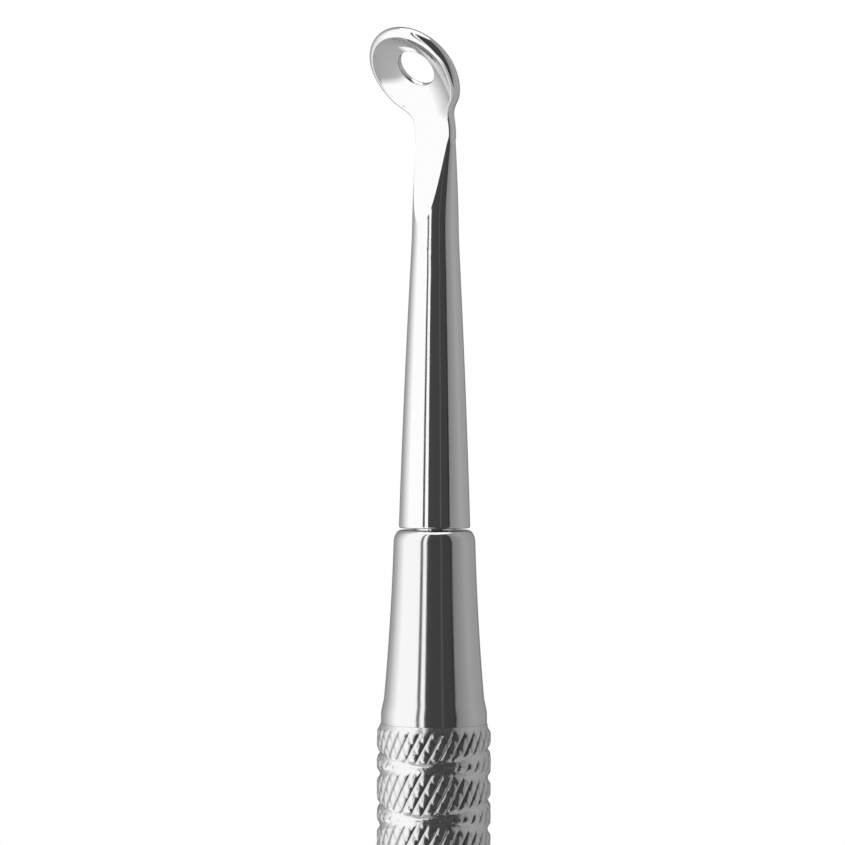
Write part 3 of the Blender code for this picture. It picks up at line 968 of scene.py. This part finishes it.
def add_disc(name, radius, height, level, material):
    """A round level sheet made of rings, such as the floor or the light overhead."""
    angles = np.linspace(0.0, 2 * math.pi, DISC_COLUMNS, endpoint=False)
    rings = np.linspace(0.0, radius, DISC_RINGS)
    grid = turned_grid(rings, np.full(DISC_RINGS, height), angles)
    faces = [grid_faces(DISC_RINGS, DISC_COLUMNS, 0, True)]
    mesh = new_mesh(name, grid.reshape(-1, 3), faces, math.pi,
                    {"level": np.full(grid.size // 3, level)})
    item = add_object(name, mesh, material)
    return item


def add_world():
    """Plain white surroundings."""
    world = bpy.data.worlds.new("white_studio")
    world.use_nodes = True
    background = world.node_tree.nodes["Background"]
    background.inputs["Color"].default_value = (1.0, 1.0, 1.0, 1.0)
    background.inputs["Strength"].default_value = 1.0
    bpy.context.scene.world = world


def add_camera(stage):
    """A level camera that stands a little left of the tool's axis, rolled very slightly."""
    data = bpy.data.cameras.new("camera")
    data.lens = stage.camera_lens
    data.sensor_width = SENSOR_WIDTH
    data.clip_start = 1.0 * MM
    camera = bpy.data.objects.new("camera", data)
    bpy.context.scene.collection.objects.link(camera)
    azimuth = stage.camera_azimuth
    away = Vector((math.sin(azimuth), -math.cos(azimuth), 0.0))
    right = Vector((math.cos(azimuth), math.sin(azimuth), 0.0))
    camera.location = (away * stage.camera_distance - right * stage.camera_aside
                       + Vector((0.0, 0.0, stage.camera_height)))
    turned = Matrix.Rotation(azimuth, 4, "Z") @ Matrix.Rotation(math.pi / 2, 4, "X")
    camera.rotation_euler = (turned @ Matrix.Rotation(stage.camera_roll, 4, "Z")).to_euler()
    bpy.context.scene.camera = camera


# -------------------- operators

class EARCLEANER_OT_loop_tip(Operator):
    """Add the forged loop tip with its shank and tang"""
    bl_idname = "ear_cleaner.loop_tip"
    bl_label = "Loop Tip"

    def execute(self, context):
        settings = context.scene.ear_cleaner
        mesh = tip_mesh("loop_tip_polished", settings.loop, settings.body, on_upper_joint)
        add_piece("loop_tip_polished", mesh, mirror_polished_steel(settings.finishes.polished),
                  "loop_tip")
        return {"FINISHED"}


class EARCLEANER_OT_scoop_tip(Operator):
    """Add the forged scoop tip at the lower end"""
    bl_idname = "ear_cleaner.scoop_tip"
    bl_label = "Scoop Tip"

    def execute(self, context):
        settings = context.scene.ear_cleaner
        mesh = tip_mesh("scoop_tip_polished", settings.scoop, settings.body, on_lower_joint)
        add_piece("scoop_tip_polished", mesh, mirror_polished_steel(settings.finishes.polished),
                  "scoop_tip")
        return {"FINISHED"}


class EARCLEANER_OT_ferrules(Operator):
    """Add the two turned ferrules"""
    bl_idname = "ear_cleaner.ferrules"
    bl_label = "Ferrules"

    def execute(self, context):
        settings = context.scene.ear_cleaner
        material = fine_turned_steel(settings.finishes.turned)
        for node, place in (("upper_ferrule", np.asarray), ("lower_ferrule", upside_down)):
            name = node + "_turned"
            add_piece(name, ferrule_mesh(name, settings.body, place), material, node)
        return {"FINISHED"}


class EARCLEANER_OT_grip(Operator):
    """Add the knurled grip with its two winding grooves"""
    bl_idname = "ear_cleaner.grip"
    bl_label = "Knurled Grip"

    def execute(self, context):
        settings = context.scene.ear_cleaner
        finishes = settings.finishes
        material = rolled_knurl_steel(finishes.knurl_top, finishes.knurl_valley_shade)
        add_piece("grip_knurled", grip_mesh("grip_knurled", settings.body), material,
                  "grip_tube")
        return {"FINISHED"}


class EARCLEANER_OT_stage(Operator):
    """Add the floor, the light panels, the white surroundings and the camera"""
    bl_idname = "ear_cleaner.stage"
    bl_label = "Stage"

    def execute(self, context):
        settings = context.scene.ear_cleaner
        stage = settings.stage
        cloth = glowing_cloth("diffuser_cloth_lit")
        for name, first, last, low, high, nearer, lift in PANELS:
            radius = stage.tent_radius - nearer * MM
            profile = (radius, radius), (stage.tent_top, TOOL_BOTTOM + lift * MM)
            add_panel(name, stage, (first, last), profile, [np.linspace(low, high, PANEL_STEPS)],
                      cloth)
        for name, ends, near, far, low, high in FLOOR_CARDS:
            profile = (near * MM, far * MM), [TOOL_BOTTOM + FLOOR_CARD_LIFT] * 2
            card = add_panel(name, stage, ends, profile, [[low], [high]], cloth)
            card.visible_diffuse = False
            card.visible_shadow = False
        overhead = add_disc("softbox_overhead", stage.tent_radius, stage.tent_top,
                            OVERHEAD_LEVEL, cloth)
        overhead.visible_camera = False
        add_disc("floor", stage.floor_radius, TOOL_BOTTOM, 0.0, matt_floor(settings.finishes.floor))
        add_world()
        add_camera(stage)
        context.scene.view_settings.view_transform = "Standard"
        return {"FINISHED"}


class EARCLEANER_PT_build(Panel):
    """Buttons for each piece of the tool"""
    bl_label = "Ear Wax Cleaner"
    bl_space_type = "VIEW_3D"
    bl_region_type = "UI"
    bl_category = "Ear Cleaner"

    def draw(self, context):
        for operator in OPERATORS:
            self.layout.operator(operator.bl_idname)


GROUPS = (LoopTipSizes, ScoopTipSizes, BodySizes, Finishes, StageSizes, EarCleanerSettings)
OPERATORS = (EARCLEANER_OT_loop_tip, EARCLEANER_OT_scoop_tip, EARCLEANER_OT_ferrules,
             EARCLEANER_OT_grip, EARCLEANER_OT_stage)
CLASSES = GROUPS + OPERATORS + (EARCLEANER_PT_build,)


def register():
    """Register the classes and hang the settings on the scene."""
    for item in CLASSES:
        bpy.utils.register_class(item)
    bpy.types.Scene.ear_cleaner = PointerProperty(type=EarCleanerSettings)


def unregister():
    """Undo register."""
    del bpy.types.Scene.ear_cleaner
    for item in reversed(CLASSES):
        bpy.utils.unregister_class(item)


def main():
    """Build everything."""
    register()
    bpy.ops.ear_cleaner.loop_tip()
    bpy.ops.ear_cleaner.scoop_tip()
    bpy.ops.ear_cleaner.ferrules()
    bpy.ops.ear_cleaner.grip()
    bpy.ops.ear_cleaner.stage()


if __name__ == "__main__":
    main()
